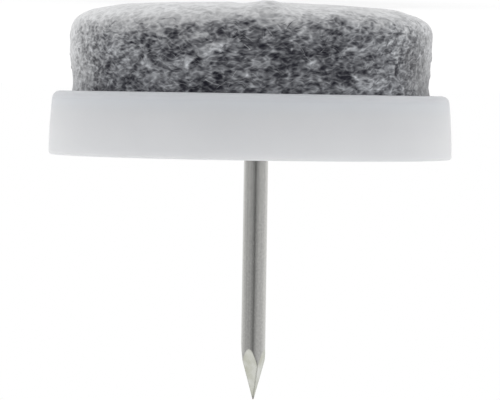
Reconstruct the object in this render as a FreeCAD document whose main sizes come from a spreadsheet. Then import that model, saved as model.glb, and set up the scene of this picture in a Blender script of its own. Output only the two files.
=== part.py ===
"""Nail-on furniture glide: a felt disc glued into a moulded plastic cup that a wire nail holds to a leg.

The glide stands as it is used. The felt rests on the floor at Z = 0, its centre is the origin,
and the nail points up into the leg. All sizes are in millimetres.
"""

import FreeCAD, Part
import math
import os

import Sketcher

doc = FreeCAD.newDocument("nail_on_glide")

# Driving dimensions
SIZES = [
    ("cup_diameter", 28.0, "cup, across the face that meets the leg"),
    ("cup_height", 4.4, "cup, from its rim to the face that meets the leg"),
    ("cup_wall_bow", 38.0, "radius of the cup wall's outward bow"),
    ("rim_round", 0.55, "rounding of the rim's outer edge"),
    ("cup_wall", 1.5, "cup wall beside the leg, from the recess to the outside"),
    ("recess_depth", 1.8, "depth of the felt's recess, from the rim"),
    ("mouth_bevel", 0.2, "bevel of the rim's inner edge"),
    ("seat_bevel", 0.12, "bevel of the edge beside the leg"),
    ("felt_proud", 6.2, "felt that stands out of the cup"),
    ("felt_swell", 0.08, "how far the felt swells past the width of its recess, each side"),
    ("felt_gap", 0.05, "gap between the felt and the wall of the recess"),
    ("felt_edge_width", 5.8, "felt's rounded floor edge, along the floor"),
    ("felt_edge_height", 2.1, "felt's rounded floor edge, up the side"),
    ("felt_edge_round", 1.3, "tightest radius of that edge"),
    ("felt_side_hollow", 25.0, "radius of the felt side's slight waist"),
    ("nail_diameter", 1.7, "wire of the nail"),
    ("nail_reach", 16.9, "nail, from the leg's face to its tip"),
    ("nail_point_length", 3.9, "cut point of the nail"),
    ("nail_tip_width", 0.06, "blunt end left by the cut"),
    ("nail_point_offset", 0.08, "how far the cuts leave the tip from the nail's centre, in both directions"),
    ("nail_point_turn", 21.0, "turn of the point's four cuts about the nail, in degrees"),
    ("nail_head_diameter", 4.2, "head of the nail"),
    ("nail_head_height", 0.8, "thickness of the head"),
    ("lock_width", 0.7, "ring rolled into the shank under the head, to lock it in the cup"),
    ("lock_depth", 0.18, "depth of that ring"),
    ("nail_off_centre", 0.43, "how far the nail stands from the cup's centre"),
    ("nail_gap", 0.02, "gap round the shank in its hole"),
    ("head_gap", 0.1, "gap round the head in its counterbore"),
]

sizes = doc.addObject("Spreadsheet::Sheet", "sizes")
for row, (alias, size, meaning) in enumerate(SIZES, start=1):
    sizes.set(f"A{row}", meaning)
    sizes.set(f"B{row}", str(size))
    sizes.setAlias(f"B{row}", alias)
doc.recompute()

RECESS_RADIUS = "(sizes.cup_diameter / 2 - sizes.cup_wall)"
ORIGIN_POINT = (-1, 1)
SKETCH_X_AXIS, SKETCH_Y_AXIS = range(-1, -3, -1)
START, END, CENTRE = range(1, 4)


def size_of(alias):
    """A driving dimension's present number, for first guesses and for finding edges."""
    return float(sizes.get(alias))


def vector(x, y):
    return FreeCAD.Vector(x, y, 0)


def line(start, end):
    return Part.LineSegment(vector(*start), vector(*end))


def arc(centre, radius, start_angle, end_angle):
    """An arc that runs anticlockwise from one angle to the other, in radians."""
    circle = Part.Circle(vector(*centre), FreeCAD.Vector(0, 0, 1), radius)
    return Part.ArcOfCircle(circle, start_angle, end_angle)


def new_body(name):
    body = doc.addObject("PartDesign::Body", name)
    body.Label = name
    return body


def new_sketch(body, name, plane):
    """A sketch on one of the body's own origin planes."""
    sketch = body.newObject("Sketcher::SketchObject", name)
    support = next(o for o in body.Origin.OriginFeatures if o.Role == plane)
    sketch.AttachmentSupport = (support, [""])
    sketch.MapMode = "FlatFace"
    return sketch


def fix(sketch, *constraint):
    sketch.addConstraint(Sketcher.Constraint(*constraint))


def drive(sketch, expression, kind, *places):
    """Adds a dimension that follows an expression of the sheet's cells."""
    first_guess = sketch.evalExpression(expression)
    first_guess = getattr(first_guess, "Value", first_guess)
    index = sketch.addConstraint(Sketcher.Constraint(kind, *places, float(first_guess)))
    sketch.setExpression(f"Constraints[{index}]", expression)


def join_ends(sketch, *ends):
    """Closes an outline: each pair is the end of one edge and the start of the next."""
    for (geo_a, end_a), (geo_b, end_b) in ends:
        fix(sketch, "Coincident", geo_a, end_a, geo_b, end_b)


def turn(body, sketch, name):
    """Revolves a half section about the upright axis of its sketch."""
    feature = body.newObject("PartDesign::Revolution", name)
    feature.Profile = sketch
    feature.ReferenceAxis = (sketch, ["V_Axis"])
    feature.Angle = 360
    doc.recompute()


def cut_removed(body, feature, volume_before):
    """Stops the build if a cut points away from the solid and so removes nothing."""
    doc.recompute()
    if not feature.Shape.Volume < volume_before:
        raise RuntimeError(f"{body.Label}: {feature.Name} cuts nothing")


def bevel_edge(body, name, bevel_cell, edge_radius, edge_height):
    """Bevels the full circle of that radius and height in the body's own frame."""
    tip = body.Tip
    near = min(
        (e for e in enumerate(tip.Shape.Edges, start=1) if isinstance(e[1].Curve, Part.Circle)),
        key=lambda e: abs(e[1].Curve.Radius - edge_radius) + abs(e[1].Curve.Center.z - edge_height),
    )
    feature = body.newObject("PartDesign::Chamfer", name)
    feature.Base = (tip, [f"Edge{near[0]}"])
    feature.setExpression("Size", f"sizes.{bevel_cell}")
    cut_removed(body, feature, tip.Shape.Volume)


def make_cup():
    """The moulded cup. Its own frame starts at the rim, with the felt's recess open downwards."""
    body = new_body("plastic_cup")
    radius, height = size_of("cup_diameter") / 2, size_of("cup_height")
    recess_radius, recess_depth = radius - size_of("cup_wall"), size_of("recess_depth")

    # First guess for the rounding of the rim, which touches the rim and the inside of the wall's arc
    bow, rim_round = size_of("cup_wall_bow"), size_of("rim_round")
    bow_centre = radius - bow
    round_centre = bow_centre + math.sqrt((bow - rim_round) ** 2 - (height - rim_round) ** 2)
    meet = math.atan2(rim_round - height, round_centre - bow_centre)

    section = new_sketch(body, "cup_section", "XZ_Plane")
    floor = section.addGeometry(line((0, recess_depth), (recess_radius, recess_depth)))
    recess = section.addGeometry(line((recess_radius, recess_depth), (recess_radius, 0)))
    rim = section.addGeometry(line((recess_radius, 0), (round_centre, 0)))
    rounded = section.addGeometry(arc((round_centre, rim_round), rim_round, -math.pi / 2, meet))
    wall = section.addGeometry(arc((bow_centre, height), bow, meet, 0))
    seat = section.addGeometry(line((radius, height), (0, height)))
    axis = section.addGeometry(line((0, height), (0, recess_depth)))
    join_ends(
        section,
        ((floor, END), (recess, START)),
        ((recess, END), (rim, START)),
        ((wall, END), (seat, START)),
        ((seat, END), (axis, START)),
        ((axis, END), (floor, START)),
    )
    fix(section, "Tangent", rim, END, rounded, START)
    fix(section, "Tangent", rounded, END, wall, START)
    fix(section, "Horizontal", floor)
    fix(section, "Vertical", recess)
    fix(section, "PointOnObject", rim, START, SKETCH_X_AXIS)
    fix(section, "Horizontal", rim)
    fix(section, "Horizontal", seat)
    fix(section, "PointOnObject", axis, START, SKETCH_Y_AXIS)
    fix(section, "PointOnObject", axis, END, SKETCH_Y_AXIS)
    fix(section, "PointOnObject", wall, CENTRE, seat)
    drive(section, "sizes.recess_depth", "DistanceY", *ORIGIN_POINT, floor, START)
    drive(section, RECESS_RADIUS, "DistanceX", *ORIGIN_POINT, recess, START)
    drive(section, "sizes.cup_diameter / 2", "DistanceX", *ORIGIN_POINT, seat, START)
    drive(section, "sizes.cup_height", "DistanceY", *ORIGIN_POINT, seat, START)
    drive(section, "sizes.cup_wall_bow", "Radius", wall)
    drive(section, "sizes.rim_round", "Radius", rounded)
    turn(body, section, "cup_turned")

    # The nail's hole, and the counterbore that its head sinks into
    for name, radius_of_hole, depth in (
        ("head_counterbore", "sizes.nail_head_diameter / 2 + sizes.head_gap", "sizes.nail_head_height"),
        ("nail_hole", "sizes.nail_diameter / 2 + sizes.nail_gap", "sizes.cup_height - sizes.recess_depth"),
    ):
        volume_before = body.Shape.Volume
        outline = new_sketch(body, name + "_outline", "XY_Plane")
        outline.setExpression("AttachmentOffset.Base.z", "sizes.recess_depth")
        first_radius = size_of("nail_diameter") / 2
        circle = Part.Circle(vector(-size_of("nail_off_centre"), 0), FreeCAD.Vector(0, 0, 1), first_radius)
        hole = outline.addGeometry(circle)
        fix(outline, "PointOnObject", hole, CENTRE, SKETCH_X_AXIS)
        drive(outline, "-sizes.nail_off_centre", "DistanceX", *ORIGIN_POINT, hole, CENTRE)
        drive(outline, radius_of_hole, "Radius", hole)
        pocket = body.newObject("PartDesign::Pocket", name)
        pocket.Profile = outline
        pocket.Type = "Length"
        pocket.setExpression("Length", depth)
        pocket.Reversed = True
        cut_removed(body, pocket, volume_before)

    bevel_edge(body, "mouth_edge", "mouth_bevel", recess_radius, 0)
    bevel_edge(body, "seat_edge", "seat_bevel", radius, height)
    body.setExpression("Placement.Base.z", "sizes.felt_proud")
    return body


def make_nail():
    """The wire nail. Its own frame starts at the flat of its head, which lies under the felt."""
    body = new_body("steel_nail")
    head_radius, head_height = size_of("nail_head_diameter") / 2, size_of("nail_head_height")
    radius = size_of("nail_diameter") / 2
    in_cup = "sizes.cup_height - sizes.recess_depth"
    length_cells = f"{in_cup} + sizes.nail_reach"
    length = size_of("cup_height") - size_of("recess_depth") + size_of("nail_reach")

    section = new_sketch(body, "nail_section", "XZ_Plane")
    head = section.addGeometry(line((0, 0), (head_radius, 0)))
    head_side = section.addGeometry(line((head_radius, 0), (head_radius, head_height)))
    head_under = section.addGeometry(line((head_radius, head_height), (radius, head_height)))
    shank = section.addGeometry(line((radius, head_height), (radius, length)))
    end = section.addGeometry(line((radius, length), (0, length)))
    axis = section.addGeometry(line((0, length), (0, 0)))
    loop = [head, head_side, head_under, shank, end, axis]
    join_ends(section, *(((a, END), (b, START)) for a, b in zip(loop, loop[1:])))
    fix(section, "Coincident", head, START, *ORIGIN_POINT)
    fix(section, "Coincident", axis, END, *ORIGIN_POINT)
    for level in (head, head_under, end):
        fix(section, "Horizontal", level)
    for upright in (head_side, shank, axis):
        fix(section, "Vertical", upright)
    drive(section, "sizes.nail_head_diameter / 2", "DistanceX", *ORIGIN_POINT, head, END)
    drive(section, "sizes.nail_head_height", "DistanceY", *ORIGIN_POINT, head_side, END)
    drive(section, "sizes.nail_diameter / 2", "DistanceX", *ORIGIN_POINT, shank, START)
    drive(section, length_cells, "DistanceY", *ORIGIN_POINT, shank, END)
    turn(body, section, "nail_turned")

    # A locking ring under the head, hidden inside the cup, that ends level with the leg's face
    volume_before = body.Shape.Volume
    top = size_of("cup_height") - size_of("recess_depth")
    bottom, deep = top - size_of("lock_width"), radius - size_of("lock_depth")
    ring = new_sketch(body, "lock_ring_outline", "XZ_Plane")
    inner = ring.addGeometry(line((deep, bottom), (deep, top)))
    upper = ring.addGeometry(line((deep, top), (radius, top)))
    outer = ring.addGeometry(line((radius, top), (radius, bottom)))
    lower = ring.addGeometry(line((radius, bottom), (deep, bottom)))
    loop = [inner, upper, outer, lower]
    join_ends(ring, *(((a, END), (b, START)) for a, b in zip(loop, loop[1:] + loop[:1])))
    for upright in (inner, outer):
        fix(ring, "Vertical", upright)
    for level in (upper, lower):
        fix(ring, "Horizontal", level)
    drive(ring, "sizes.nail_diameter / 2", "DistanceX", *ORIGIN_POINT, upper, END)
    drive(ring, "sizes.lock_depth", "DistanceX", upper, START, upper, END)
    drive(ring, in_cup, "DistanceY", *ORIGIN_POINT, upper, END)
    drive(ring, "sizes.lock_width", "DistanceY", inner, START, inner, END)
    groove = body.newObject("PartDesign::Groove", "lock_ring")
    groove.Profile = ring
    groove.ReferenceAxis = (ring, ["V_Axis"])
    groove.Angle = 360
    cut_removed(body, groove, volume_before)

    # One of the four slanting cuts that make the diamond point, about a centre line of its own
    volume_before = body.Shape.Volume
    tip, offset = size_of("nail_tip_width") / 2, size_of("nail_point_offset")
    reach = radius + offset
    drop = size_of("nail_point_length") * (reach - tip) / (radius - tip)
    reach_cells = "(sizes.nail_diameter / 2 + sizes.nail_point_offset)"
    slope_cells = "sizes.nail_point_length / (sizes.nail_diameter / 2 - sizes.nail_tip_width / 2)"
    wedge = new_sketch(body, "point_cut_outline", "XZ_Plane")
    wedge.setExpression("AttachmentOffset.Base.x", "-sizes.nail_point_offset")
    wedge.setExpression("AttachmentOffset.Base.z", "sizes.nail_point_offset")
    slant = wedge.addGeometry(line((tip, length), (reach, length - drop)))
    outside = wedge.addGeometry(line((reach, length - drop), (reach, length)))
    across = wedge.addGeometry(line((reach, length), (tip, length)))
    loop = [slant, outside, across]
    join_ends(wedge, *(((a, END), (b, START)) for a, b in zip(loop, loop[1:] + loop[:1])))
    fix(wedge, "Vertical", outside)
    fix(wedge, "Horizontal", across)
    drive(wedge, "sizes.nail_tip_width / 2", "DistanceX", *ORIGIN_POINT, slant, START)
    drive(wedge, length_cells, "DistanceY", *ORIGIN_POINT, slant, START)
    drive(wedge, reach_cells, "DistanceX", *ORIGIN_POINT, outside, START)
    drop_cells = f"({reach_cells} - sizes.nail_tip_width / 2) * {slope_cells}"
    drive(wedge, drop_cells, "DistanceY", outside, START, outside, END)
    cut = body.newObject("PartDesign::Pocket", "point_cut")
    cut.Profile = wedge
    cut.Type = "Length"
    cut.SideType = "Symmetric"
    cut.setExpression("Length", "2 * sizes.nail_diameter")
    cut_removed(body, cut, volume_before)

    cuts = body.newObject("PartDesign::PolarPattern", "point_cuts")
    cuts.Originals = [cut]
    cuts.Axis = (wedge, ["V_Axis"])
    cuts.Angle = 360
    cuts.Occurrences = 4
    body.Tip = cuts
    cut_removed(body, cuts, cut.Shape.Volume)

    body.setExpression("Placement.Base.x", "-sizes.nail_off_centre")
    body.setExpression("Placement.Base.z", "sizes.felt_proud + sizes.recess_depth")
    body.setExpression("Placement.Rotation.Angle", "sizes.nail_point_turn")
    return body


def make_felt():
    """The felt disc, from the floor at its own Z = 0 to the face that is glued into the cup."""
    body = new_body("felt_pad")
    recess_radius = size_of("cup_diameter") / 2 - size_of("cup_wall")
    radius, mouth = recess_radius + size_of("felt_swell"), recess_radius - size_of("felt_gap")
    proud = size_of("felt_proud")
    thickness = proud + size_of("recess_depth")
    edge_width, edge_height = size_of("felt_edge_width"), size_of("felt_edge_height")
    edge_round = size_of("felt_edge_round")
    hollow = size_of("felt_side_hollow")

    # The floor edge is two tangent arcs: a wide one off the floor, then a tight one into the side
    flat = radius - edge_width
    wide = edge_width**2 + edge_height**2 - 2 * edge_width * edge_round
    wide /= 2 * (edge_height - edge_round)
    meet = math.atan2(edge_height - wide, edge_width - edge_round)

    # First guess for the side's centre: out from the middle of the chord, along its normal
    chord_x, chord_y = mouth - radius, proud - edge_height
    chord = math.hypot(chord_x, chord_y)
    out = math.sqrt(hollow**2 - chord**2 / 4)
    side_x = (radius + mouth) / 2 + out * chord_y / chord
    side_y = (edge_height + proud) / 2 - out * chord_x / chord
    side_low = math.atan2(edge_height - side_y, radius - side_x) % math.tau
    side_high = math.atan2(proud - side_y, mouth - side_x) % math.tau

    section = new_sketch(body, "felt_section", "XZ_Plane")
    face = section.addGeometry(line((0, 0), (flat, 0)))
    crown = section.addGeometry(arc((flat, wide), wide, -math.pi / 2, meet))
    corner = section.addGeometry(arc((radius - edge_round, edge_height), edge_round, meet, 0))
    side = section.addGeometry(arc((side_x, side_y), hollow, side_high, side_low))
    in_recess = section.addGeometry(line((mouth, proud), (mouth, thickness)))
    glued = section.addGeometry(line((mouth, thickness), (0, thickness)))
    axis = section.addGeometry(line((0, thickness), (0, 0)))
    join_ends(
        section,
        ((corner, END), (side, END)),
        ((side, START), (in_recess, START)),
        ((in_recess, END), (glued, START)),
        ((glued, END), (axis, START)),
    )
    fix(section, "Coincident", face, START, *ORIGIN_POINT)
    fix(section, "Coincident", axis, END, *ORIGIN_POINT)
    fix(section, "Horizontal", face)
    fix(section, "Tangent", face, END, crown, START)
    fix(section, "Tangent", crown, END, corner, START)
    fix(section, "Horizontal", corner, CENTRE, corner, END)
    fix(section, "Vertical", in_recess)
    fix(section, "Horizontal", glued)
    fix(section, "Vertical", axis)
    drive(section, f"{RECESS_RADIUS} + sizes.felt_swell", "DistanceX", *ORIGIN_POINT, corner, END)
    drive(section, "sizes.felt_edge_height", "DistanceY", *ORIGIN_POINT, corner, END)
    drive(section, "sizes.felt_edge_width", "DistanceX", face, END, corner, END)
    drive(section, "sizes.felt_edge_round", "Radius", corner)
    drive(section, "sizes.felt_side_hollow", "Radius", side)
    drive(section, f"{RECESS_RADIUS} - sizes.felt_gap", "DistanceX", *ORIGIN_POINT, in_recess, START)
    drive(section, "sizes.felt_proud", "DistanceY", *ORIGIN_POINT, in_recess, START)
    drive(section, "sizes.felt_proud + sizes.recess_depth", "DistanceY", *ORIGIN_POINT, in_recess, END)
    turn(body, section, "felt_turned")
    return body


pieces = [make_cup(), make_nail(), make_felt()]
doc.recompute()

failed = [o.Name for o in doc.Objects if {"Invalid", "Error"} & set(o.State)]
if failed:
    raise RuntimeError(f"these failed to build: {failed}")
for piece in pieces:
    if piece.Shape.isNull() or not piece.Shape.isValid():
        raise RuntimeError(f"{piece.Label} has no valid shape")

os.makedirs("parts", exist_ok=True)
for piece in pieces:
    piece.Shape.exportStep(f"parts/{piece.Label}.step")
    print(piece.Label, round(piece.Shape.Volume, 2), "mm3", piece.Shape.optimalBoundingBox())
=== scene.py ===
"""Looks of a nail-on furniture glide: a white moulded cup, a drawn steel nail and a disc of grey felt.

The CAD frame stands as the glide is used, felt on the floor and nail up. The photograph shows it
hanging the other way round, so the camera is turned over instead of the object.
"""

import math

import bpy
import numpy as np
from mathutils import Matrix, Vector


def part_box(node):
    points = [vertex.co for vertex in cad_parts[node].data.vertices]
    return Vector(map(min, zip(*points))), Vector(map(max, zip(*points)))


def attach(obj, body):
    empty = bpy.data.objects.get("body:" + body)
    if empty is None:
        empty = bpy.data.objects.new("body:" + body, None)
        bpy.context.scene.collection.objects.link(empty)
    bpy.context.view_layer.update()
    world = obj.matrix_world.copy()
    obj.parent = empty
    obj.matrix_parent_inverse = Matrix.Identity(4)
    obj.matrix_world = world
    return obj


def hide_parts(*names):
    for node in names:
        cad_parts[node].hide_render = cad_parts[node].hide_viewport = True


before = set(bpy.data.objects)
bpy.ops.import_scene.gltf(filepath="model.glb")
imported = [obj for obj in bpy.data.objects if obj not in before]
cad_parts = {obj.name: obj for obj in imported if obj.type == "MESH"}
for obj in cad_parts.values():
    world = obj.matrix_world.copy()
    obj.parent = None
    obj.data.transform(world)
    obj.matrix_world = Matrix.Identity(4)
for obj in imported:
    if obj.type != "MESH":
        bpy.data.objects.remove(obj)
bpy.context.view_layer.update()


# The cup is one injection moulding in white polyethylene, about 1.5 mm thick beside the felt.
# The plastic lets a little light through, so the dark felt in the recess greys the wall before it,
# most of all at the thin rim. That greying is painted shade in the colour, darkest at the rim, and the
# seat end is painted a little darker too. Each tint below stands at its height above the rim.
MM = 0.001
CUP_HEIGHT = 4.4 * MM
CUP_PAINTED_SHADE_TINTS = (
    (0.28 * MM, (0.570, 0.584, 0.613, 1)),
    (0.6 * MM, (0.671, 0.693, 0.724, 1)),
    (1.4 * MM, (0.740, 0.752, 0.770, 1)),
    (2.4 * MM, (0.771, 0.778, 0.794, 1)),
    (3.4 * MM, (0.773, 0.781, 0.794, 1)),
    (4.4 * MM, (0.731, 0.739, 0.759, 1)),
)
CUP_CLOUDED = (0.66, 0.67, 0.69, 1)
CUP_CLOUDING = 0.22
CUP_CLOUD_SCALE = 170.0
CUP_CLOUD_RANGE = (0.35, 0.75)
CUP_GRAIN_SCALE = 5200.0
CUP_GRAIN_DEPTH = 0.02 * MM
CUP_ROUGHNESS = (0.38, 0.48)
CUP_SCATTER = 2.0 * MM


def new_finish(name):
    """A node material, its node tree and its one Principled shader."""
    material = bpy.data.materials.new(name)
    material.use_nodes = True
    tree = material.node_tree
    return material, tree, tree.nodes["Principled BSDF"]


def add_node(tree, kind, links=(), **values):
    """Adds a node, sets its properties and unlinked sockets by name, and links the rest."""
    node = tree.nodes.new(kind)
    for name, value in values.items():
        if hasattr(node, name):
            setattr(node, name, value)
        else:
            node.inputs[name.replace("_", " ")].default_value = value
    for socket, source in dict(links).items():
        tree.links.new(source, node.inputs[socket])
    return node


def set_shader(shader, **values):
    """Sets constants on the shader's own sockets, such as Sheen_Weight for Sheen Weight."""
    for name, value in values.items():
        shader.inputs[name.replace("_", " ")].default_value = value


def mix_colours(tree, factor, low, high):
    """The colour that runs from low to high as the linked factor runs from 0 to 1."""
    mix = add_node(tree, "ShaderNodeMix", data_type="RGBA")
    tree.links.new(factor, mix.inputs["Factor"])
    for socket, colour in (("A", low), ("B", high)):
        end = [s for s in mix.inputs if s.name == socket and s.type == "RGBA"][0]
        if isinstance(colour, tuple):
            end.default_value = colour
        else:
            tree.links.new(colour, end)
    return [s for s in mix.outputs if s.type == "RGBA"][0]


def between(tree, value, low, high):
    """The number that runs from low to high as the linked value runs from 0 to 1."""
    return add_node(
        tree, "ShaderNodeMapRange", {"Value": value}, To_Min=low, To_Max=high
    ).outputs["Result"]


def dress(node, material):
    """Gives a CAD node its finish in place of the plain one that it came with."""
    node.data.materials.clear()
    node.data.materials.append(material)


moulded_white, tree, shader = new_finish("moulded_white")
place = add_node(tree, "ShaderNodeTexCoord").outputs["Object"]
cloud = add_node(tree, "ShaderNodeTexNoise", {"Vector": place}, Scale=CUP_CLOUD_SCALE, Detail=3.0)
grain = add_node(tree, "ShaderNodeTexNoise", {"Vector": place}, Scale=CUP_GRAIN_SCALE, Detail=2.0)
rim_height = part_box("plastic_cup")[0].z
above_rim = add_node(
    tree,
    "ShaderNodeMapRange",
    {"Value": add_node(tree, "ShaderNodeSeparateXYZ", {"Vector": place}).outputs["Z"]},
    From_Min=rim_height,
    From_Max=rim_height + CUP_HEIGHT,
)
# Painted shade: the tints darken towards the rim, and again a little at the seat end.
painted_shade_ramp = add_node(tree, "ShaderNodeValToRGB", {"Fac": above_rim.outputs["Result"]})
painted_shade_ramp.color_ramp.interpolation = "CARDINAL"
painted_shade_stops = painted_shade_ramp.color_ramp.elements
for height, _ in CUP_PAINTED_SHADE_TINTS[1:-1]:
    painted_shade_stops.new(height / CUP_HEIGHT)
for index, (height, shade_tint) in enumerate(CUP_PAINTED_SHADE_TINTS):
    painted_shade_stops[index].position, painted_shade_stops[index].color = height / CUP_HEIGHT, shade_tint
clouding = add_node(
    tree,
    "ShaderNodeMapRange",
    {"Value": cloud.outputs["Fac"]},
    From_Min=CUP_CLOUD_RANGE[0],
    From_Max=CUP_CLOUD_RANGE[1],
    To_Max=CUP_CLOUDING,
)
tree.links.new(
    mix_colours(tree, clouding.outputs["Result"], painted_shade_ramp.outputs["Color"], CUP_CLOUDED),
    shader.inputs["Base Color"],
)
tree.links.new(between(tree, grain.outputs["Fac"], *CUP_ROUGHNESS), shader.inputs["Roughness"])
skin = add_node(
    tree, "ShaderNodeBump", {"Height": grain.outputs["Fac"]}, Strength=0.06, Distance=CUP_GRAIN_DEPTH
)
tree.links.new(skin.outputs["Normal"], shader.inputs["Normal"])
set_shader(
    shader,
    IOR=1.5,
    Specular_IOR_Level=0.35,
    Subsurface_Weight=1.0,
    Subsurface_Radius=(1.0, 1.0, 1.0),
    Subsurface_Scale=CUP_SCATTER,
)
dress(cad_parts["plastic_cup"], moulded_white)


# The nail is cut from drawn steel wire, with its head hidden between cup and felt.
# Drawing leaves faint lines and a fine matt grain along the shank. The cutter leaves four bright flats
# at the point, with worn edges, dull patches and a dark tip.
STEEL_LIGHT = (0.72, 0.715, 0.69, 1)
STEEL_DARK = (0.53, 0.53, 0.515, 1)
STEEL_TIP = (0.27, 0.27, 0.26, 1)
TIP_LENGTH = 0.35 * MM
CUT_STEEL_DULL = (0.51, 0.515, 0.435, 1)
CUT_STEEL = (0.69, 0.695, 0.655, 1)
CUT_SLOPE = (0.04, 0.2)
EDGE_RADIUS = 0.16 * MM
WIRE_LINES = (6500.0, 6500.0, 60.0)
WIRE_LINE_DEPTH = 0.01 * MM
WIRE_TONES = (0.5, 1.2)
STEEL_GRAIN_SCALE = 7000.0
STEEL_GRAIN_SHARE = 0.7
STEEL_ROUGHNESS = (0.1, 0.17)
BLOTCH_SCALE = 900.0
BLOTCH_TONES = (0.36, 0.64)


def maths(tree, operation, *terms):
    """One step of arithmetic on linked values and plain numbers."""
    node = add_node(tree, "ShaderNodeMath", operation=operation)
    for socket, term in zip(node.inputs, terms):
        if isinstance(term, (int, float)):
            socket.default_value = term
        else:
            tree.links.new(term, socket)
    return node.outputs["Value"]


def spread_out(tree, value, low, high):
    """The linked value stretched so that low becomes 0 and high becomes 1."""
    return add_node(
        tree, "ShaderNodeMapRange", {"Value": value}, From_Min=low, From_Max=high
    ).outputs["Result"]


drawn_steel, tree, shader = new_finish("drawn_steel")
place = add_node(tree, "ShaderNodeTexCoord").outputs["Object"]
stretched = add_node(tree, "ShaderNodeMapping", {"Vector": place}, Scale=WIRE_LINES)
lines = add_node(
    tree, "ShaderNodeTexNoise", {"Vector": stretched.outputs["Vector"]}, Scale=1.0, Detail=3.0
)
fine = add_node(tree, "ShaderNodeTexNoise", {"Vector": place}, Scale=STEEL_GRAIN_SCALE, Detail=1.0)
lined_grain = maths(tree, "MULTIPLY_ADD", fine.outputs["Fac"], STEEL_GRAIN_SHARE, lines.outputs["Fac"])
blotch = add_node(tree, "ShaderNodeTexNoise", {"Vector": place}, Scale=BLOTCH_SCALE, Detail=2.0)
worn = add_node(tree, "ShaderNodeBevel", samples=6, Radius=EDGE_RADIUS).outputs["Normal"]
facing_up = add_node(tree, "ShaderNodeSeparateXYZ", {"Vector": worn}).outputs["Z"]
is_cut = spread_out(tree, facing_up, *CUT_SLOPE)
wire = mix_colours(tree, spread_out(tree, lined_grain, *WIRE_TONES), STEEL_DARK, STEEL_LIGHT)
cut = mix_colours(tree, spread_out(tree, blotch.outputs["Fac"], *BLOTCH_TONES), CUT_STEEL_DULL, CUT_STEEL)
tip_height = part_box("steel_nail")[1].z
height = add_node(tree, "ShaderNodeSeparateXYZ", {"Vector": place}).outputs["Z"]
near_tip = spread_out(tree, height, tip_height - TIP_LENGTH, tip_height)
steel = mix_colours(tree, near_tip, mix_colours(tree, is_cut, wire, cut), STEEL_TIP)
tree.links.new(steel, shader.inputs["Base Color"])
tree.links.new(between(tree, blotch.outputs["Fac"], *STEEL_ROUGHNESS), shader.inputs["Roughness"])
drawn = add_node(
    tree,
    "ShaderNodeBump",
    {"Height": lined_grain, "Normal": worn},
    Strength=0.06,
    Distance=WIRE_LINE_DEPTH,
)
tree.links.new(drawn.outputs["Normal"], shader.inputs["Normal"])
set_shader(shader, Metallic=1.0)
dress(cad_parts["steel_nail"], drawn_steel)


# The felt is a thick disc of needled wool and synthetic fibres, punched out and glued into the cup.
# Its floor edge is domed and pale, its sides are slightly waisted, and dark and pale fibres mottle it.
# Its colour also carries painted light: a painted sheen towards the limbs, stronger on the +x side,
# a floor edge painted paler on that side, and painted shade near the cup.
FELT_AROUND = 680
FACE_POINTS = 40
EDGE_POINTS = 160
SIDE_POINTS = 60
FELT_STEP = 0.1 * MM
FACE_STEP = 0.25 * MM
FLAT_FACE_RADIUS = 8 * MM
HIDDEN_STEP = 0.7 * MM
HIDDEN_PAST_RIM = 0.2 * MM
FELT_EDGE_WIDTH = 7.5 * MM
FELT_EDGE_HEIGHT = 2.6 * MM
FELT_EDGE_POWER = 3.6
FELT_MOUTH_INSET = 0.13 * MM
FELT_WAIST = 0.05 * MM
FELT_LEAN = 0.05 * MM
LEAN_FROM = 2 * MM
LEAN_HEIGHT = 2.8 * MM
FELT_WAVE = 0.03 * MM
FELT_RELIEF = 0.012 * MM
RELIEF_PAST_RIM = 0.15 * MM
RELIEF_FADE = 0.5 * MM
STILL_RADIUS = 2 * MM
# Places where the floor face is pulled out or pressed in: x, y, width, depth and height.
FACE_PULLS = MM * np.array([
    [-1.1, -9.9, 0.7, 1.2, 0.36],
    [0.6, -7.5, 0.4, 2.6, -0.09],
    [-4.2, -7.5, 1.1, 3.0, -0.10],
])
# Pale flecks on the side: angle, height, width and tallness.
FELT_FLECKS = np.array([
    [4.875, 3.30 * MM, 0.18 * MM, 0.36 * MM],
    [5.06, 4.30 * MM, 0.18 * MM, 0.36 * MM],
    [4.50, 3.27 * MM, 0.11 * MM, 0.14 * MM],
    [1.20, 3.60 * MM, 0.17 * MM, 0.32 * MM],
    [2.60, 4.60 * MM, 0.18 * MM, 0.25 * MM],
    [0.10, 2.90 * MM, 0.16 * MM, 0.25 * MM],
])
FLECK_TONE = 0.9
# Broad paler and darker places on the side: angle, height, width, tallness and change of tone.
FELT_SHADES = np.array([
    [3.77, 4.4 * MM, 0.25 * MM, 0.6 * MM, 0.40],
    [3.84, 4.4 * MM, 0.50 * MM, 0.7 * MM, -0.42],
    [3.86, 3.9 * MM, 2.4 * MM, 2.2 * MM, 0.28],
    [4.13, 2.4 * MM, 1.1 * MM, 0.8 * MM, 0.36],
    [4.22, 3.5 * MM, 0.6 * MM, 0.7 * MM, -0.18],
    [4.38, 4.4 * MM, 1.0 * MM, 1.1 * MM, 0.36],
    [4.47, 3.3 * MM, 0.7 * MM, 0.6 * MM, -0.38],
    [4.58, 2.7 * MM, 0.7 * MM, 0.7 * MM, 0.24],
    [5.00, 4.7 * MM, 1.3 * MM, 0.8 * MM, -0.30],
    [5.04, 2.5 * MM, 1.0 * MM, 0.9 * MM, -0.48],
    [5.08, 3.9 * MM, 1.3 * MM, 1.0 * MM, -0.20],
    [5.46, 3.9 * MM, 1.6 * MM, 1.0 * MM, 0.42],
])

felt_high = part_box("felt_pad")[1]
felt_radius = felt_high.x
felt_mouth = felt_radius - FELT_MOUTH_INSET


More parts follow.
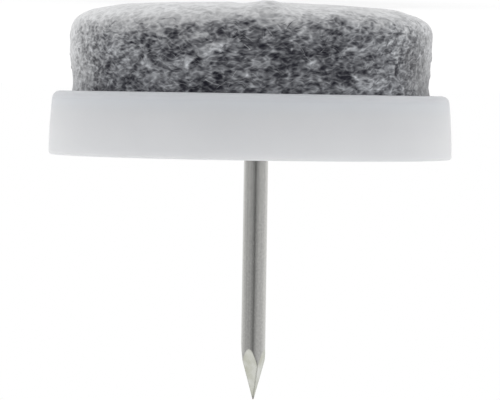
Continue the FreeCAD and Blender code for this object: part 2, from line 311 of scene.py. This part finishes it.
def felt_profile():
    """Half section of the felt as (radius, height), from the floor face's middle to the glued face's.

    The domed edge is a superellipse: the square of the way out along the floor, plus a higher power of the
    way still to go up the side, is one. The side eases in from there to the mouth of the cup, with half a
    sine wave more at its waist, and a straight line into the recess ends it.
    """
    out = 1 - np.linspace(1, 0, EDGE_POINTS) ** 2
    up = 1 - (1 - out**2) ** (1 / FELT_EDGE_POWER)
    edge = np.stack([felt_radius - FELT_EDGE_WIDTH * (1 - out), FELT_EDGE_HEIGHT * up], 1)
    face_out = np.linspace(0, edge[0, 0], FACE_POINTS)[:-1]
    face = np.stack([face_out, np.zeros(FACE_POINTS - 1)], 1)
    along = np.linspace(0, 1, SIDE_POINTS)[1:]
    ease = along**2 * (3 - 2 * along)
    inset = (felt_radius - felt_mouth) * ease + FELT_WAIST * np.sin(np.pi * along**2)
    side = np.stack([felt_radius - inset, FELT_EDGE_HEIGHT + (rim_height - FELT_EDGE_HEIGHT) * along], 1)
    inside = np.array([[felt_mouth, felt_high.z], [0, felt_high.z]])
    return np.concatenate([face, edge, side, inside])


def spaced(points, steps):
    """Points moved along their own line so that each gap is about the step given for that stretch."""
    gaps = np.linalg.norm(np.diff(points, axis=0), axis=1)
    along = np.concatenate([[0], np.cumsum(gaps)])
    count = np.concatenate([[0], np.cumsum(gaps / steps)])
    wanted = np.interp(np.linspace(0, count[-1], int(count[-1]) + 1), count, along)
    return np.stack([np.interp(wanted, along, points[:, i]) for i in range(2)], 1), wanted


def blurred(field, down, across):
    """The field under a Gaussian blur of so many cells each way, on a grid that closes on itself."""
    rows, columns = np.fft.fftfreq(field.shape[0])[:, None], np.fft.rfftfreq(field.shape[1])[None, :]
    blur = np.exp(-2 * np.pi**2 * ((rows * down) ** 2 + (columns * across) ** 2))
    return np.fft.irfft2(np.fft.rfft2(field) * blur, field.shape)


def unit(field):
    """The field with its mean taken away and its spread brought to one."""
    return (field - field.mean()) / field.std()


MAT_CELL = 0.05 * MM
WISP_LENGTH = 0.7 * MM
WISP_LENGTH_SPREAD = 0.4
WISP_WIDTH = 0.1 * MM
WISP_LANES = 3
WISP_DOTS_PER_CELL = 1.5
WISP_BEND = 1.2
WISP_STRAYS = 0.25
WISP_STRAY_TURN = 2.5
WISP_OWN_TONE = 0.5
WISP_GAP_TONE = -1.5
WISP_SOFTNESS = 1.3


def wisps(rng, ground, count, spread):
    """Short fibres laid over each other on a grid that closes on itself, with unit spread of tone.

    A fibre starts anywhere, heads along the rows within a random spread, wider for the strays, and bends
    evenly. Its tone is the ground's where it starts, with a random part. Each cell keeps the fibre that was
    laid last, a cell with none stays dark, and a blur makes them soft.
    """
    shape = np.array(ground.shape)
    steps = np.linspace(-0.5, 0.5, int(WISP_DOTS_PER_CELL * WISP_LENGTH / MAT_CELL))
    start = rng.uniform(0, 1, (count, 2)) * shape
    strayed = np.where(rng.uniform(0, 1, count) < WISP_STRAYS, WISP_STRAY_TURN, 1.0)
    heading = strayed * rng.normal(0, spread, count)
    course = heading[:, None] + rng.normal(0, WISP_BEND, count)[:, None] * steps
    stride = WISP_LENGTH / MAT_CELL * rng.lognormal(0, WISP_LENGTH_SPREAD, count) / len(steps)
    ahead = np.stack([np.sin(course), np.cos(course)], -1)
    beside = np.stack([np.cos(course), -np.sin(course)], -1)
    spine = start[:, None] + np.cumsum(ahead, axis=1) * stride[:, None, None]
    lanes = np.linspace(-0.5, 0.5, WISP_LANES) * WISP_WIDTH / MAT_CELL
    dots = spine[:, :, None] + beside[:, :, None] * lanes[:, None]
    cells = np.round(dots).astype(int) % shape
    laid = np.full(shape.prod(), -1)
    order = np.broadcast_to(np.arange(count)[:, None, None], cells.shape[:3])
    np.maximum.at(laid, (cells[..., 0] * shape[1] + cells[..., 1]).ravel(), order.ravel())
    first = start.astype(int)
    tones = WISP_OWN_TONE * rng.standard_normal(count) + ground[first[:, 0], first[:, 1]]
    mat = np.append(tones, WISP_GAP_TONE)[laid].reshape(shape)
    return unit(blurred(mat, WISP_SOFTNESS, WISP_SOFTNESS))


def sample(field, rows, columns):
    """The field between its cells, blended from the four cells round each place, closing on itself."""
    high, wide = field.shape[:2]
    row, column = np.floor(rows).astype(int), np.floor(columns).astype(int)
    spare = (1,) * (field.ndim - 2)
    down, right = (rows - row).reshape(rows.shape + spare), (columns - column).reshape(columns.shape + spare)
    above = field[row % high, column % wide] * (1 - right) + field[row % high, (column + 1) % wide] * right
    row = row + 1
    below = field[row % high, column % wide] * (1 - right) + field[row % high, (column + 1) % wide] * right
    return above * (1 - down) + below * down


outline = felt_profile()
hidden = outline[1:, 1] > rim_height + HIDDEN_PAST_RIM
flat_face = outline[1:, 0] < FLAT_FACE_RADIUS
outline_steps = np.where(hidden, HIDDEN_STEP, np.where(flat_face, FACE_STEP, FELT_STEP))
profile, profile_along = spaced(outline, outline_steps)
tangent = np.gradient(profile, axis=0)
tangent /= np.linalg.norm(tangent, axis=1, keepdims=True)
profile_normal = np.stack([tangent[:, 1], -tangent[:, 0]], 1)
angle = np.linspace(0, 2 * np.pi, FELT_AROUND, endpoint=False)
profile_radius, profile_height = profile[:, :1], profile[:, 1:]
felt_x, felt_y = profile_radius * np.cos(angle), profile_radius * np.sin(angle)

FELT_SEED = 290
SIDE_MAT_HEIGHT = 14 * MM
FACE_MAT_RADII = 2.4
MAT_TURN = 5.6
SIDE_FROM = 9.0 * MM
SIDE_EASE = 1.6 * MM
SIDE_PATCH = (0.2 * MM, 0.42 * MM)
SIDE_CLOUD = (0.9 * MM, 1.5 * MM)
FACE_PATCH = (0.5 * MM, 0.5 * MM)
FACE_CLOUD = (1.3 * MM, 1.3 * MM)
SIDE_PATCH_SHARE = 0.45
SIDE_CLOUD_SHARE = 0.40
FACE_PATCH_SHARE = 0.45
FACE_CLOUD_SHARE = 0.55
SIDE_WISPS = 34000
SIDE_WISP_SPREAD = 0.5
FACE_WISPS = 30000
FACE_WISP_SPREAD = 3.0

felt_rng = np.random.default_rng(FELT_SEED)
side_shape = np.round(np.array([SIDE_MAT_HEIGHT, 2 * np.pi * felt_radius]) / MAT_CELL).astype(int)
face_shape = np.round(np.full(2, FACE_MAT_RADII * felt_radius) / MAT_CELL).astype(int)


def mat_noise(shape, down, across):
    """White noise on a mat's grid, blurred by so many metres each way, with unit spread."""
    return unit(blurred(felt_rng.standard_normal(shape), down / MAT_CELL, across / MAT_CELL))


side_patches = mat_noise(side_shape, *SIDE_PATCH)
side_clouds = mat_noise(side_shape, *SIDE_CLOUD)
face_patches = mat_noise(face_shape, *FACE_PATCH)
face_clouds = mat_noise(face_shape, *FACE_CLOUD)
side_ground = SIDE_PATCH_SHARE * side_patches + SIDE_CLOUD_SHARE * side_clouds
face_ground = FACE_PATCH_SHARE * face_patches + FACE_CLOUD_SHARE * face_clouds
side_wisps = wisps(felt_rng, side_ground, SIDE_WISPS, SIDE_WISP_SPREAD)
face_wisps = wisps(felt_rng, face_ground, FACE_WISPS, FACE_WISP_SPREAD)

side_rows = profile_along[:, None] / MAT_CELL + 0 * angle
side_columns = (angle + MAT_TURN) / (2 * np.pi) * side_shape[1] + 0 * profile_radius
on_side = np.clip((profile_radius - SIDE_FROM) / SIDE_EASE, 0, 1)


def on_felt(side_field, face_field):
    """A side pattern and a floor face pattern read at the felt's own grid, eased into each other."""
    on_face = sample(face_field, felt_x / MAT_CELL, felt_y / MAT_CELL)
    return sample(side_field, side_rows, side_columns) * on_side + on_face * (1 - on_side)


wisp = on_felt(side_wisps, face_wisps)
patches = on_felt(side_patches, face_patches)
clouds = on_felt(side_clouds, face_clouds)


def soft_places(rows):
    """For each row of angle, height, width and tallness, one at that place and a Gaussian fall round it."""
    at_angle, at_height, wide, tall = rows.T[:, :, None, None]
    off = (angle - at_angle + np.pi) % (2 * np.pi) - np.pi
    return np.exp(-((off * felt_radius / wide) ** 2) - ((profile_height - at_height) / tall) ** 2)


flecks = soft_places(FELT_FLECKS).max(axis=0)
shaded = np.tensordot(FELT_SHADES[:, 4], soft_places(FELT_SHADES[:, :4]), 1)

shown = np.clip((rim_height + RELIEF_PAST_RIM - profile_height) / RELIEF_FADE, 0, 1)
side_wave = np.sin(np.pi * np.clip((profile_height - LEAN_FROM) / LEAN_HEIGHT, 0, 1))
pull_x, pull_y, pull_wide, pull_deep, pull_height = FACE_PULLS.T[:, :, None, None]
pulls = np.exp(-0.5 * ((felt_x - pull_x) / pull_wide) ** 2 - 0.5 * ((felt_y - pull_y) / pull_deep) ** 2)
pulled = (pull_height * pulls).sum(axis=0)
push = FELT_RELIEF * wisp + FELT_WAVE * clouds + FELT_LEAN * side_wave * np.cos(angle)
push = push * shown + pulled
push = push * np.clip(profile_radius / STILL_RADIUS, 0, 1)
reach = profile_radius + profile_normal[:, :1] * push
felt_height = np.maximum(profile_height + profile_normal[:, 1:] * push, 0)
felt_places = np.stack([reach * np.cos(angle), reach * np.sin(angle), felt_height], -1)

SIDE_TONE = 0.406
SIDE_CONTRAST = 0.23
SIDE_PALEST = 1.7
NEAR_CUP_FROM = 3.2 * MM
NEAR_CUP_PAINTED_SHADE = 0.2
NEAR_CUP_PAINTED_SHEEN_LOST = 0.4
PALE_HEIGHT = 1.80 * MM
PALE_FADE = 2.5 * MM
PALE_CLOUDS = 0.11
PALE_PATCHES = 0.06
PALE_PAINTED_LIGHT_LEAN = 0.26
PAINTED_SHEEN = 0.81
PAINTED_SHEEN_LEAN = 0.19

# Painted shade near the cup: the felt's tone is darkened and its sheen lessened towards the overhanging rim.
painted_shade_near_cup = np.clip((profile_height - NEAR_CUP_FROM) / (rim_height - NEAR_CUP_FROM), 0, 1)
felt_tone = SIDE_TONE * (1 + SIDE_CONTRAST * wisp - NEAR_CUP_PAINTED_SHADE * painted_shade_near_cup + shaded)
felt_tone = np.minimum(felt_tone, SIDE_PALEST * SIDE_TONE) * (1 - flecks) + FLECK_TONE * flecks
# The floor edge's paleness is the felt's own paler layer; its lean to the +x side is painted light.
felt_pale = (PALE_HEIGHT - profile_height) / PALE_FADE + 0.5
felt_pale = felt_pale + PALE_CLOUDS * clouds + PALE_PATCHES * patches + PALE_PAINTED_LIGHT_LEAN * np.cos(angle)
# Strength of the painted sheen: less near the cup as painted shade, and more on the +x side as painted light
# from that side.
felt_painted_sheen = (1 - NEAR_CUP_PAINTED_SHEEN_LOST * painted_shade_near_cup) * (PAINTED_SHEEN + PAINTED_SHEEN_LEAN * np.cos(angle))


def grid_faces(rows, columns):
    """Quads of a grid of rows by columns that closes on itself along each row."""
    first = np.arange((rows - 1) * columns).reshape(rows - 1, columns)
    beside = np.roll(first, -1, axis=1)
    return np.stack([first, beside, beside + columns, first + columns], -1).reshape(-1, 4)


def new_piece(name, places, faces, material):
    """A smooth-shaded object at the origin from an array of places and a list of faces."""
    mesh = bpy.data.meshes.new(name)
    mesh.from_pydata(places.reshape(-1, 3), [], faces)
    mesh.shade_smooth()
    mesh.materials.append(material)
    piece = bpy.data.objects.new(name, mesh)
    bpy.context.scene.collection.objects.link(piece)
    return piece


def set_values(piece, name, values):
    """Stores one value for each point of a piece, for its material to read."""
    stored = piece.data.attributes.new(name, "FLOAT", "POINT")
    stored.data.foreach_set("value", values.astype(np.float32).ravel())


FELT_DARK_FIBRE = (0.0142, 0.0139, 0.022, 1)
FELT_PALE_FIBRE = (0.88, 0.905, 0.945, 1)
FELT_FLOOR_FIBRE = (0.885, 0.89, 0.897, 1)
FELT_SHEEN = (0.865, 0.872, 0.884, 1)
FELT_SHEEN_SHADED = (0.66, 0.666, 0.674, 1)
SHEEN_FACING = (0.36, 0.92)
SHEEN_RAGGED = 0.22
SHEEN_DETAIL = (-0.25, 0.25)
SIDE_MOTTLE = 0.8
FACE_TONE = 0.79
FACE_MOTTLE = 0.24
PALE_RAGGED = 0.36
DARKEST_TONE = 0.05
TONE_GAMMA = 2.2
NAP_DEPTH = 0.06 * MM
WISP_SCALE = (1350.0, 1350.0, 2300.0)
WISP_CURL = 0.8
SWIRL_SCALE = 1100.0
SWIRL_REACH = 0.45 * MM
NOISE_MIDDLE = 0.5
LINE_SCALE = (1150.0, 1150.0, 2900.0)
LINE_SHARPNESS = 8.0
PALE_LINES = 0.2
PALE_LINES_MEAN = 0.6
DARK_LINES = 0.1
DARK_LINES_MEAN = 0.3
# Each set of fibre lines has its own shift in the noise and its own lean.
PALE_LAY = ((0, 0, 0), (0, 0.28, 0))
CROSSING_LAY = ((31, 17, 5), (0.3, -0.28, 0))
DARK_LAY = ((7, 41, 23), (0, 0, 0))

needled_felt, tree, shader = new_finish("needled_felt")
tone = add_node(tree, "ShaderNodeAttribute", attribute_name="felt_tone").outputs["Fac"]
pale = add_node(tree, "ShaderNodeAttribute", attribute_name="felt_pale").outputs["Fac"]
painted_sheen_strength = add_node(tree, "ShaderNodeAttribute", attribute_name="felt_painted_sheen").outputs["Fac"]
place = add_node(tree, "ShaderNodeTexCoord").outputs["Object"]
flattened = add_node(tree, "ShaderNodeMapping", {"Vector": place}, Scale=WISP_SCALE).outputs["Vector"]
wisp_noise = add_node(
    tree,
    "ShaderNodeTexNoise",
    {"Vector": flattened},
    Scale=1.0,
    Detail=2.1,
    Roughness=0.5,
    Distortion=WISP_CURL,
).outputs["Fac"]
swirl = add_node(tree, "ShaderNodeTexNoise", {"Vector": place}, Scale=SWIRL_SCALE, Detail=1.0)
swirled = add_node(
    tree, "ShaderNodeVectorMath", {0: swirl.outputs["Color"], 2: place}, operation="MULTIPLY_ADD"
)
swirled.inputs[1].default_value = (SWIRL_REACH, SWIRL_REACH, SWIRL_REACH)


def fibre_lines(tree, vector, shift, lean):
    """Thin bent lines, one on each and zero between, where a flattened noise crosses its own middle.

    The lean, in radians about x, y and z, turns the noise before it is flattened, so that lines cross.
    """
    leaned = add_node(tree, "ShaderNodeMapping", {"Vector": vector}, Rotation=lean).outputs["Vector"]
    moved = add_node(tree, "ShaderNodeMapping", {"Vector": leaned}, Scale=LINE_SCALE, Location=shift)
    noise = add_node(
        tree, "ShaderNodeTexNoise", {"Vector": moved.outputs["Vector"]}, Scale=1.0, Detail=1.0
    ).outputs["Fac"]
    off_line = maths(tree, "ABSOLUTE", maths(tree, "SUBTRACT", noise, NOISE_MIDDLE))
    return maths(tree, "MAXIMUM", maths(tree, "MULTIPLY_ADD", off_line, -LINE_SHARPNESS, 1.0), 0.0)


pale_lines = maths(
    tree,
    "ADD",
    fibre_lines(tree, swirled.outputs["Vector"], *PALE_LAY),
    fibre_lines(tree, swirled.outputs["Vector"], *CROSSING_LAY),
)
pale_lines = maths(tree, "SUBTRACT", pale_lines, PALE_LINES_MEAN)
dark_lines = fibre_lines(tree, swirled.outputs["Vector"], *DARK_LAY)
dark_lines = maths(tree, "SUBTRACT", dark_lines, DARK_LINES_MEAN)
tangle = maths(tree, "MULTIPLY_ADD", pale_lines, PALE_LINES, wisp_noise)
tangle = maths(tree, "MULTIPLY_ADD", dark_lines, -DARK_LINES, tangle)
detail = maths(tree, "SUBTRACT", tangle, NOISE_MIDDLE)
ragged = add_node(
    tree,
    "ShaderNodeMapRange",
    {"Value": maths(tree, "MULTIPLY_ADD", detail, PALE_RAGGED, pale)},
    interpolation_type="SMOOTHSTEP",
).outputs["Result"]
side_tone = maths(tree, "MULTIPLY_ADD", detail, SIDE_MOTTLE, tone)
face_tone = maths(tree, "MULTIPLY_ADD", detail, FACE_MOTTLE, FACE_TONE)
both_tones = add_node(
    tree, "ShaderNodeMapRange", {"Value": ragged, "To Min": side_tone, "To Max": face_tone}
).outputs["Result"]
felt_shade = maths(tree, "POWER", maths(tree, "MAXIMUM", both_tones, DARKEST_TONE), TONE_GAMMA)
pale_fibre = mix_colours(tree, ragged, FELT_PALE_FIBRE, FELT_FLOOR_FIBRE)
felt_grey = mix_colours(tree, felt_shade, FELT_DARK_FIBRE, pale_fibre)
# Painted sheen: the base colour is paled towards a sheen grey where the surface turns from the view.
facing = add_node(tree, "ShaderNodeLayerWeight", Blend=0.5).outputs["Facing"]
grazing = add_node(
    tree,
    "ShaderNodeMapRange",
    {"Value": maths(tree, "MULTIPLY_ADD", detail, SHEEN_RAGGED, facing)},
    interpolation_type="SMOOTHSTEP",
    From_Min=SHEEN_FACING[0],
    From_Max=SHEEN_FACING[1],
)
sheen = maths(tree, "MULTIPLY", grazing.outputs["Result"], painted_sheen_strength)
sheen_grey = mix_colours(tree, spread_out(tree, detail, *SHEEN_DETAIL), FELT_SHEEN_SHADED, FELT_SHEEN)
tree.links.new(mix_colours(tree, sheen, felt_grey, sheen_grey), shader.inputs["Base Color"])
nap = add_node(tree, "ShaderNodeBump", {"Height": tangle}, Strength=0.3, Distance=NAP_DEPTH)
tree.links.new(nap.outputs["Normal"], shader.inputs["Normal"])
set_shader(
    shader,
    Roughness=1.0,
    Specular_IOR_Level=0.1,
    Sheen_Weight=0.6,
    Sheen_Roughness=0.35,
)

middle = np.array([[0, 0, 0], [0, 0, felt_high.z]])
ring_rows = len(profile) - 2
ring_points = ring_rows * FELT_AROUND
ring_start = np.arange(FELT_AROUND)
ring_next = np.roll(ring_start, -1)
floor_fan = np.stack([np.full(FELT_AROUND, ring_points), ring_next, ring_start], 1)
last_ring = ring_points - FELT_AROUND
glued_fan = last_ring + np.stack([np.full(FELT_AROUND, FELT_AROUND + 1), ring_start, ring_next], 1)
felt_faces = grid_faces(ring_rows, FELT_AROUND).tolist() + floor_fan.tolist() + glued_fan.tolist()
felt = new_piece(
    "felt_disc", np.concatenate([felt_places[1:-1].reshape(-1, 3), middle]), felt_faces, needled_felt
)
set_values(felt, "felt_tone", np.append(felt_tone[1:-1].ravel(), [SIDE_TONE, SIDE_TONE]))
set_values(felt, "felt_pale", np.append(felt_pale[1:-1].ravel(), [1, 0]))
set_values(felt, "felt_painted_sheen", np.append(felt_painted_sheen[1:-1].ravel(), [1, 0]))
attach(felt, "root")
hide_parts("felt_pad")


# Single fibre ends lie loose on the felt, most of them along its layers, some across them.
# Each is a thin three-sided strand that leaves the mat, arches a little over it and goes in again.
FIBRE_SEED = 7
FIBRE_COUNT = 420
FIBRE_POINTS = 5
FIBRE_SIDES = 3
FIBRE_BAND = (1.2 * MM, 6.05 * MM)
FIBRE_LENGTH = 1.0 * MM
FIBRE_LENGTH_SPREAD = 0.35
FIBRE_TURN_SPREAD = 0.8
FIBRE_BEND = 0.8
FIBRE_THICKNESS = 0.08 * MM
FIBRE_THICKNESS_RANGE = (0.7, 1.3)
FIBRE_END = 0.1
FIBRE_LIFT = 0.015 * MM
FIBRE_LIFT_RANGE = (0.2, 1.0)
FIBRE_OFF_FLOOR = 0.6
FIBRE_TONE = 0.50
FIBRE_TONE_SPREAD = 0.1
FIBRE_LESS_PALE = 0.35
NORMAL_BLUR = 2.0
TINY = 1e-15

felt_normals = np.cross(
    np.roll(felt_places, -1, axis=1) - np.roll(felt_places, 1, axis=1), np.gradient(felt_places, axis=0)
)
felt_normals = blurred(felt_normals.transpose(2, 0, 1).reshape(-1, FELT_AROUND), 0.0, NORMAL_BLUR)
felt_normals = felt_normals.reshape(3, -1, FELT_AROUND).transpose(1, 2, 0)
felt_normals /= np.linalg.norm(felt_normals, axis=-1, keepdims=True) + TINY


def lay_fibres(name, count):
    """Strands on the felt's edge and side between two heights, as one mesh of thin tubes.

    A strand starts anywhere, heads round the disc with a random turn, bends evenly, and arches by half a
    sine wave over the surface. Three points round each of its points make the tube. It takes the felt's
    own normals, paleness and sheen below it, so that it fades with the felt towards the limb.
    """
    rng = np.random.default_rng(FIBRE_SEED)
    steps = np.linspace(0, 1, FIBRE_POINTS)
    in_band = (profile[:, 1] >= FIBRE_BAND[0]) & (profile[:, 1] <= FIBRE_BAND[1])
    in_band = in_band & (profile[:, 0] > FLAT_FACE_RADIUS)
    band = profile_along[np.flatnonzero(in_band)[[0, -1]]]
    start = rng.uniform(*band, count)
    start_angle = rng.uniform(0, 2 * np.pi, count)
    heading = rng.normal(0, FIBRE_TURN_SPREAD, count)
    course = heading[:, None] + rng.normal(0, FIBRE_BEND, count)[:, None] * (steps - 0.5)
    stride = FIBRE_LENGTH * rng.lognormal(0, FIBRE_LENGTH_SPREAD, count)[:, None] / FIBRE_POINTS
    along = start[:, None] + np.cumsum(np.sin(course), axis=1) * stride
    turned = start_angle[:, None] + np.cumsum(np.cos(course), axis=1) * stride / felt_radius
    kept = ((along > band[0]) & (along < band[1])).all(axis=1)
    along, turned, count = along[kept], turned[kept], int(kept.sum())
    rows = np.interp(along, profile_along, np.arange(len(profile)))
    columns = turned / (2 * np.pi) * FELT_AROUND
    normal = sample(felt_normals, rows, columns)
    arch = FIBRE_LIFT * rng.uniform(*FIBRE_LIFT_RANGE, count)[:, None] * np.sin(np.pi * steps)
    spine = sample(felt_places, rows, columns) + normal * arch[..., None]
    spine[..., 2] = np.maximum(spine[..., 2], FIBRE_OFF_FLOOR * FIBRE_THICKNESS)
    ahead = np.gradient(spine, axis=1)
    ahead /= np.linalg.norm(ahead, axis=-1, keepdims=True) + TINY
    beside = np.cross(normal, ahead)
    beside /= np.linalg.norm(beside, axis=-1, keepdims=True) + TINY
    above = np.cross(ahead, beside)
    taper = np.sqrt(np.sin(np.pi * (FIBRE_END + (1 - 2 * FIBRE_END) * steps)))
    half = 0.5 * FIBRE_THICKNESS * rng.uniform(*FIBRE_THICKNESS_RANGE, count)[:, None] * taper
    round_turn = np.linspace(0, 2 * np.pi, FIBRE_SIDES, endpoint=False)[:, None] + np.pi / 2
    ring = np.cos(round_turn) * beside[..., None, :] + np.sin(round_turn) * above[..., None, :]
    places = spine[..., None, :] + ring * half[..., None, None]
    per_strand = FIBRE_POINTS * FIBRE_SIDES
    starts = (np.arange(count) * per_strand)[:, None, None]
    ends = np.stack([np.arange(FIBRE_SIDES)[::-1], np.arange(per_strand - FIBRE_SIDES, per_strand)])
    faces = (grid_faces(FIBRE_POINTS, FIBRE_SIDES) + starts).reshape(-1, 4).tolist()
    faces += (ends + starts).reshape(-1, 3).tolist()
    piece = new_piece(name, places, faces, needled_felt)
    tones = FIBRE_TONE * rng.normal(1, FIBRE_TONE_SPREAD, count)
    set_values(piece, "felt_tone", np.repeat(tones, per_strand))
    less_pale, painted_sheen_field = felt_pale - FIBRE_LESS_PALE, felt_painted_sheen + 0 * felt_pale
    set_values(piece, "felt_pale", np.repeat(sample(less_pale, rows, columns), FIBRE_SIDES))
    set_values(piece, "felt_painted_sheen", np.repeat(sample(painted_sheen_field, rows, columns), FIBRE_SIDES))
    piece.data.normals_split_custom_set_from_vertices(np.repeat(normal.reshape(-1, 3), FIBRE_SIDES, axis=0))
    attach(piece, "root")


lay_fibres("felt_pale_fibres", FIBRE_COUNT)


# The glide stands on a plain white light table, in front of one tall curved grey card.
# The table lights the felt from below, and the card shades the front and gives the nail its dark middle.
FLOOR_WIDTH = 6.0
FLOOR_DROP = 0.02 * MM
TABLE_GREY = (0.25, 0.25, 0.25, 1)
TABLE_GLOW_SEEN = 0.82
TABLE_GLOW = 0.75
SKY_LEVEL = 0.92
CARD_RADIUS = 0.6
CARD_COLUMNS = 301
CARD_ROWS = 51
# The card's angles are in degrees, round it and up it, and its shades are levels of light.
CARD_HALF_ANGLE = 150.0
CARD_TOP_ANGLE = 50.0
CARD_MIDDLE_RISE = 0.17
CARD_MIDDLE_EASE = (1.9, 5)
CARD_LEFT = 0.54
CARD_LEFT_FADE = 38.0
CARD_RIGHT = 0.66
CARD_RIGHT_RISE = 0.02
CARD_RIGHT_RISE_FROM = 2
CARD_RIGHT_RISE_SPAN = 4.5
CARD_RIGHT_FADE = 36.0
CARD_ENDS = 0.92
CARD_ENDS_EASE = (80, 145)
CARD_TOP = 0.92
CARD_TOP_RIGHT = 0.84
CARD_TOP_EASE = (6, 26)
CARD_TOP_SIDES = (14, 42)


def seen_directly(tree):
    """A socket that is one for rays from the camera, a mirror or a clear body, and zero for soft light."""
    path = add_node(tree, "ShaderNodeLightPath")
    either = maths(tree, "MAXIMUM", path.outputs["Is Camera Ray"], path.outputs["Is Glossy Ray"])
    return maths(tree, "MAXIMUM", either, path.outputs["Is Transmission Ray"])


light_table, tree, shader = new_finish("light_table")
glow = between(tree, seen_directly(tree), TABLE_GLOW, TABLE_GLOW_SEEN)
tree.links.new(glow, shader.inputs["Emission Strength"])
set_shader(
    shader,
    Base_Color=TABLE_GREY,
    Roughness=1.0,
    Specular_IOR_Level=0.0,
    Emission_Color=(1, 1, 1, 1),
)
corner = FLOOR_WIDTH / 2
floor_places = np.array([[-corner, -corner], [corner, -corner], [corner, corner], [-corner, corner]])
floor_places = np.column_stack([floor_places, np.full(4, -FLOOR_DROP)])
floor = new_piece("floor", floor_places, [[0, 1, 2, 3]], light_table)


def eased(values, start, end):
    """Zero before the start, one past the end, and a smooth step between."""
    way = np.clip((values - start) / (end - start), 0, 1)
    return way**2 * (3 - 2 * way)


card_grey = bpy.data.materials.new("card_grey")
card_grey.use_nodes = True
tree = card_grey.node_tree
tree.nodes.clear()
shade = add_node(tree, "ShaderNodeAttribute", attribute_name="card_shade").outputs["Fac"]
card_glow = add_node(tree, "ShaderNodeEmission", {"Strength": shade})
tree.links.new(card_glow.outputs["Emission"], add_node(tree, "ShaderNodeOutputMaterial").inputs["Surface"])
card_turn = np.linspace(-CARD_HALF_ANGLE, CARD_HALF_ANGLE, CARD_COLUMNS)
card_rise = np.linspace(0, CARD_TOP_ANGLE, CARD_ROWS)
turn_grid, rise_grid = np.meshgrid(card_turn, card_rise)
card_places = CARD_RADIUS * np.stack(
    [np.sin(np.radians(turn_grid)), -np.cos(np.radians(turn_grid)), np.tan(np.radians(rise_grid))], -1
)
low_rise = np.clip(rise_grid - CARD_RIGHT_RISE_FROM, 0, CARD_RIGHT_RISE_SPAN)
plateau = np.where(turn_grid < 0, CARD_RIGHT + CARD_RIGHT_RISE * low_rise, CARD_LEFT)
fade = np.where(turn_grid < 0, CARD_RIGHT_FADE, CARD_LEFT_FADE)
middle_shade = CARD_MIDDLE_RISE * eased(rise_grid, *CARD_MIDDLE_EASE)
low_shade = middle_shade + (plateau - middle_shade) * (1 - np.exp(-np.abs(turn_grid) / fade))
low_shade = low_shade + (CARD_ENDS - plateau) * eased(np.abs(turn_grid), *CARD_ENDS_EASE)
to_top = eased(rise_grid, *CARD_TOP_EASE) * eased(np.abs(turn_grid), *CARD_TOP_SIDES)
top_shade = np.where(turn_grid < 0, CARD_TOP_RIGHT, CARD_TOP)
card_shade = low_shade + (top_shade - low_shade) * to_top
card_first = (np.arange(CARD_ROWS - 1)[:, None] * CARD_COLUMNS + np.arange(CARD_COLUMNS - 1)).ravel()
card_above = card_first + CARD_COLUMNS
card_faces = np.stack([card_first, card_first + 1, card_above + 1, card_above], 1)
card = new_piece("front_card", card_places, card_faces.tolist(), card_grey)
set_values(card, "card_shade", card_shade)
card.visible_camera = False

world = bpy.data.worlds.new("white_studio")
world.use_nodes = True
bpy.context.scene.world = world
tree = world.node_tree
level = between(tree, seen_directly(tree), SKY_LEVEL, 1.0)
tree.links.new(level, tree.nodes["Background"].inputs["Strength"])
tree.nodes["Background"].inputs["Color"].default_value = (1, 1, 1, 1)


# The camera stands level with the cup's rim, 230 mm away, and is turned over to hang the glide nail down.
# It also leans by the slight tilt that the glide has in the photograph.
CAMERA_DISTANCE = 230 * MM
CAMERA_LENS = 238.0
CAMERA_TILT = 0.0157
AIM_HEIGHT = 13.62 * MM
AIM_SIDE = -0.05 * MM

eye = Vector((0, -CAMERA_DISTANCE, rim_height))
ahead = (Vector((AIM_SIDE, 0, AIM_HEIGHT)) - eye).normalized()
right = ahead.cross(Vector((math.sin(CAMERA_TILT), 0, -math.cos(CAMERA_TILT)))).normalized()
up = right.cross(ahead)
camera_data = bpy.data.cameras.new("camera")
camera_data.lens = CAMERA_LENS
camera_data.sensor_width = 36.0
camera_data.clip_start = 0.01
camera = bpy.data.objects.new("camera", camera_data)
camera.matrix_world = Matrix.Translation(eye) @ Matrix((right, up, -ahead)).transposed().to_4x4()
bpy.context.scene.collection.objects.link(camera)
bpy.context.scene.camera = camera
bpy.context.scene.view_settings.view_transform = "Standard"
